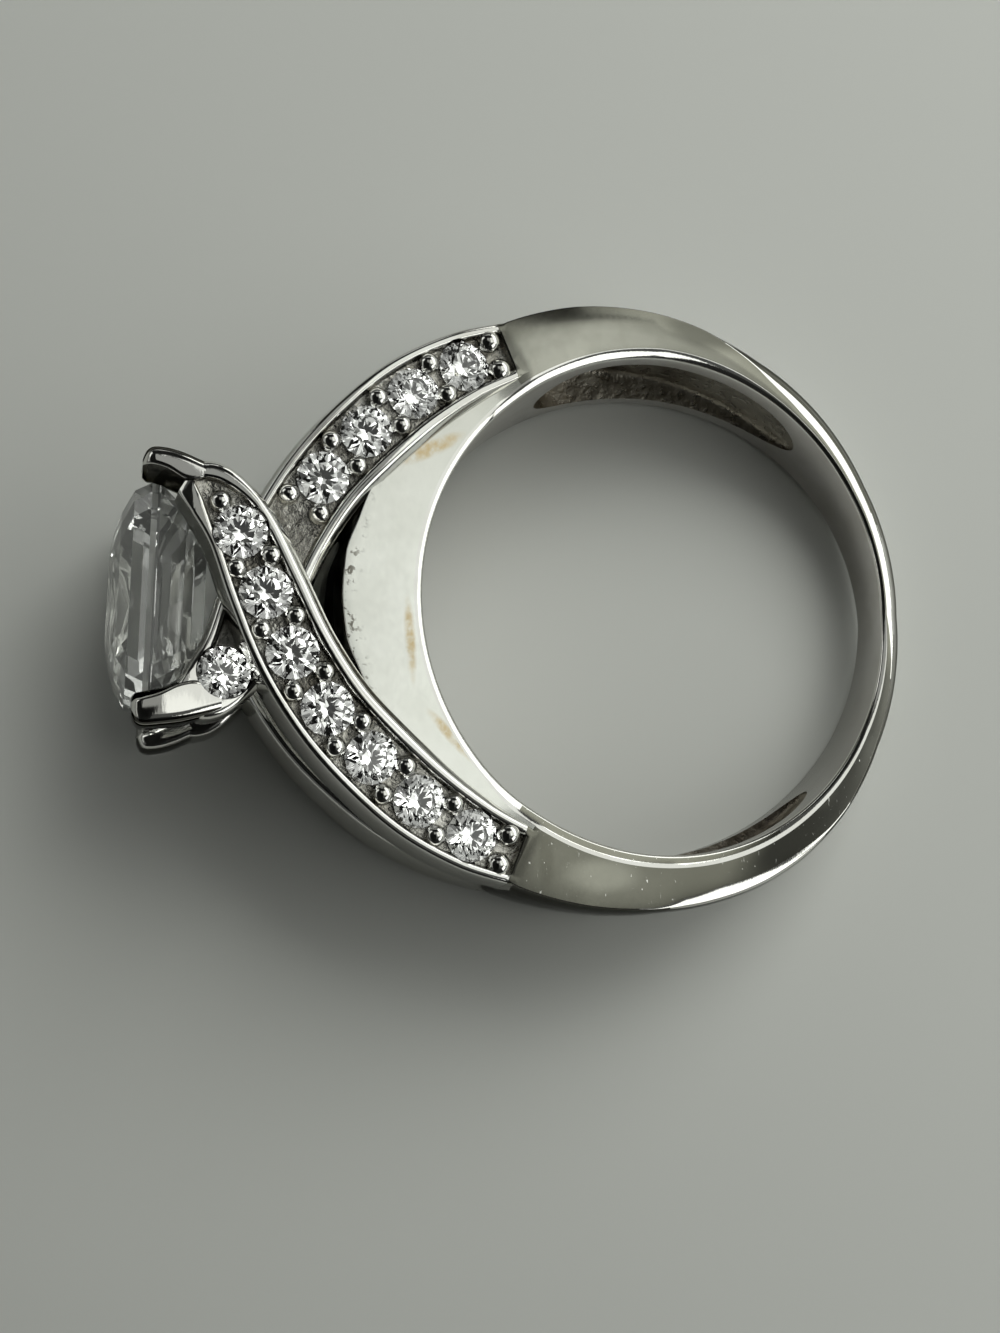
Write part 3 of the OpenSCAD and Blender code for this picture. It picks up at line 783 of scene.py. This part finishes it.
# The square stone's room in the metal
STONE_SIDE = 7.3
CORNER_R = 1.1
GIRDLE_T = 0.28
CROWN_H = 1.26
PAVILION_H = 3.2
STONE_SEAT = 17.36
STONE_LEAN = math.radians(2.6)
BEND_AT = 13.4


def square_ring(half, corner, z):
    """A square of points with round corners."""
    points = []
    c = half - corner
    for q in range(4):
        for u in (0, 30, 60, 90):
            x = c + corner * math.cos(math.radians(u))
            y = c + corner * math.sin(math.radians(u))
            cq = math.cos(math.pi / 2 * q)
            sq = math.sin(math.pi / 2 * q)
            points.append((cq * x - sq * y, sq * x + cq * y, z))
    return points


def square_stone(name, grow):
    """The square stone, larger by grow all round."""
    half = STONE_SIDE / 2 + grow
    crown = GIRDLE_T + grow
    return loft(name, [
        square_ring(half * 0.06, CORNER_R * 0.05, -PAVILION_H - grow),
        square_ring(half * 0.42, CORNER_R * 0.45, -PAVILION_H * 0.66 - grow),
        square_ring(half * 0.80, CORNER_R * 0.85, -PAVILION_H * 0.28 - grow),
        square_ring(half, CORNER_R, -grow),
        square_ring(half, CORNER_R, crown),
        square_ring(half - 0.24, CORNER_R * 1.05, crown + CROWN_H * 0.43),
        square_ring(half - 0.86, CORNER_R * 1.1, crown + CROWN_H * 0.73),
        square_ring(half - 1.45, CORNER_R, crown + CROWN_H * 0.89),
        square_ring(half - 2.10, CORNER_R * 0.75, crown + CROWN_H),
    ])


ON_HEAD = (
    Matrix.Translation((0, -BEND_AT, 0))
    @ Matrix.Rotation(-STONE_LEAN, 4, "Z")
    @ Matrix.Translation((0, BEND_AT - STONE_SEAT, 0))
    @ Matrix.Rotation(math.pi / 2, 4, "X")
)


def all_four(make, name, *args):
    """A thing of both kinds of arm, on the front and on the back."""
    made = []
    for under in (False, True):
        thing = make(f"{name}_{'under' if under else 'over'}", *[a[under] for a in args], under)
        if under:
            thing.data.transform(MIRROR_X)
            outward(thing)
        made += both_sides(thing)
    return made


# The mount, cut and joined
SHARP_FROM = math.radians(38)
mount = band()
boolean(mount, gallery_gap(), "DIFFERENCE")
hollow = pocket()
mirrored = turned(hollow, "pocket_2", MIRROR_X)
boolean(mount, hollow, "DIFFERENCE")
boolean(mount, mirrored, "DIFFERENCE")
for thing in all_four(channel_start, "start"):
    boolean(mount, thing, "DIFFERENCE")
for thing in all_four(arm, "arm") + all_four(prong, "prong"):
    boolean(mount, thing, "UNION")
for thing in all_four(seats, "seats", (OVER_RUNS, UNDER_RUNS)):
    boolean(mount, thing, "DIFFERENCE")
stone_room = square_stone("stone_room", SEAT_GAP)
stone_room.data.transform(ON_HEAD)
boolean(mount, stone_room, "DIFFERENCE")
for thing in all_four(beads, "beads", (OVER_BEADS, UNDER_BEADS)):
    boolean(mount, thing, "UNION")
mount.data.transform(TO_ROW)
mount.name = "mount"
for poly in mount.data.polygons:
    poly.use_smooth = True
mount.data.set_sharp_from_angle(angle=SHARP_FROM)

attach(mount, "root")
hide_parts("cast_mount")

# The stones keep their CAD meshes
glass, glass_bsdf = shader("cut_stone", Base_Color=(0.93, 0.935, 0.93, 1), Roughness=0.0, IOR=2.16)
glass_bsdf.inputs["Transmission Weight"].default_value = 1.0
clear, clear_bsdf = shader("centre_stone_glass", Base_Color=(0.97, 0.98, 0.965, 1), Roughness=0.0, IOR=1.86)
clear_bsdf.inputs["Transmission Weight"].default_value = 0.92
for name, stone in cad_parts.items():
    if name != "cast_mount":
        stone.data.materials.clear()
        stone.data.materials.append(clear if name == "centre_stone" else glass)
        for poly in stone.data.polygons:
            poly.use_smooth = False


def level(x0, y0, x1, y1, z):
    """The corners of a level rectangle, in metres."""
    return [(x0, y0, z), (x1, y0, z), (x1, y1, z), (x0, y1, z)]


def upright(x, y0, y1, z0, z1):
    """The corners of an upright rectangle, in metres."""
    return [(x, y0, z0), (x, y1, z0), (x, y1, z1), (x, y0, z1)]


floor_mat, _ = shader("floor_paint", Base_Color=(0.635, 0.645, 0.62, 1), Roughness=0.6)
floor = mesh_object("floor", level(-0.4, -0.4, 0.4, 0.4, 0), [(0, 1, 2, 3)])
floor.data.materials.append(floor_mat)


LIGHT = (0.98, 1.0, 0.95)


def softbox(name, azimuth, elevation, wide, high, radiance, away):
    """A soft light seen from the ring under these angles: azimuth from +Y towards -X."""
    az = math.radians(azimuth)
    el = math.radians(elevation)
    place = Vector((-math.sin(az) * math.cos(el), math.cos(az) * math.cos(el), math.sin(el))) * away
    data = bpy.data.lights.new(name, "AREA")
    data.shape = "RECTANGLE"
    size = [2 * away * math.tan(math.radians(x / 2)) for x in (wide, high)]
    data.size, data.size_y = size
    data.energy = radiance * math.pi * size[0] * size[1]
    data.color = LIGHT
    obj = bpy.data.objects.new(name, data)
    bpy.context.scene.collection.objects.link(obj)
    obj.location = place
    obj.rotation_euler = (-place).to_track_quat("-Z", "Y").to_euler()
    return obj


# Name, azimuth, elevation, width and height in degrees, radiance, distance, what sees the light
FAR = 0.45
for *box, seen_by in (
    ("key", 54, 47, 36, 36, 3.4, 0.28, "dull"),
    ("side_key", -14, 42, 40, 40, 0.60, 0.22, "dull"),
    ("sky", 0, 84, 80, 80, 0.29, FAR, "dull"),
    ("window", 19, 52, 44, 34, 0.82, FAR, "all"),
    ("low_right", 28, 21, 76, 30, 1.5, FAR, "mirror"),
    ("low_front", -42, 26, 48, 28, 1.5, FAR, "mirror"),
    ("left_fill", 170, 22, 60, 24, 0.30, FAR, "all"),
    ("left_top", 116, 34, 70, 16, 0.75, FAR, "mirror"),
    ("overhead", 50, 77, 60, 22, 0.23, FAR, "mirror"),
    ("above", 0, 82, 125, 125, 0.15, FAR, "stones"),
    ("spark", -30, 66, 26, 26, 0.7, FAR, "stones"),
):
    light = softbox(*box)
    light.visible_glossy = seen_by in ("mirror", "all")
    light.visible_diffuse = seen_by in ("dull", "all")
world = bpy.data.worlds.new("studio")
bpy.context.scene.world = world
world.use_nodes = True
background = world.node_tree.nodes["Background"]
background.inputs["Color"].default_value = (0.97, 1.0, 0.95, 1)
background.inputs["Strength"].default_value = 0.075


def shade_card(name, corners, for_stones=False):
    """A black card beside the camera, seen in reflections or through the stones alone."""
    card = mesh_object(name, corners, [(0, 1, 2, 3)])
    black, _ = shader(name + "_felt", Base_Color=(0.012, 0.012, 0.012, 1), Roughness=0.9)
    card.data.materials.append(black)
    card.visible_camera = False
    card.visible_transmission = for_stones
    card.visible_glossy = not for_stones
    return card


CARD_Z = 0.079
shade_card("card_top", level(-0.006, -0.10, 0.145, 0.011, CARD_Z))
shade_card("card_left", level(-0.05, -0.10, -0.006, -0.018, CARD_Z))
shade_card("card_side", upright(0.26, -0.25, 0.20, 0.0, 0.30))
card_up = shade_card("card_up", upright(-0.10, -0.08, 0.05, 0.06, 0.17))
card_up.visible_shadow = False
card_up.visible_diffuse = False
shade_card("card_lens", level(-0.012, -0.028, 0.034, 0.018, 0.078), True)

# The photo's camera, from the fit
camera_data = bpy.data.cameras.new("camera")
camera_data.sensor_fit = "HORIZONTAL"
camera_data.sensor_width = 36
camera_data.lens = 68.4
camera_data.clip_start = 0.001
camera = bpy.data.objects.new("camera", camera_data)
bpy.context.scene.collection.objects.link(camera)
place = Vector((0.01043, -0.00435, 0.07018))
right = Vector((0.019, 0.9986, 0.0555)).normalized()
back = Vector((0.128, -0.057, 0.990)).normalized()
up = back.cross(right).normalized()
right = up.cross(back)
camera.matrix_world = Matrix((
    (right.x, up.x, back.x, place.x),
    (right.y, up.y, back.y, place.y),
    (right.z, up.z, back.z, place.z),
    (0, 0, 0, 1),
))
bpy.context.scene.camera = camera
bpy.context.scene.view_settings.view_transform = "Standard"
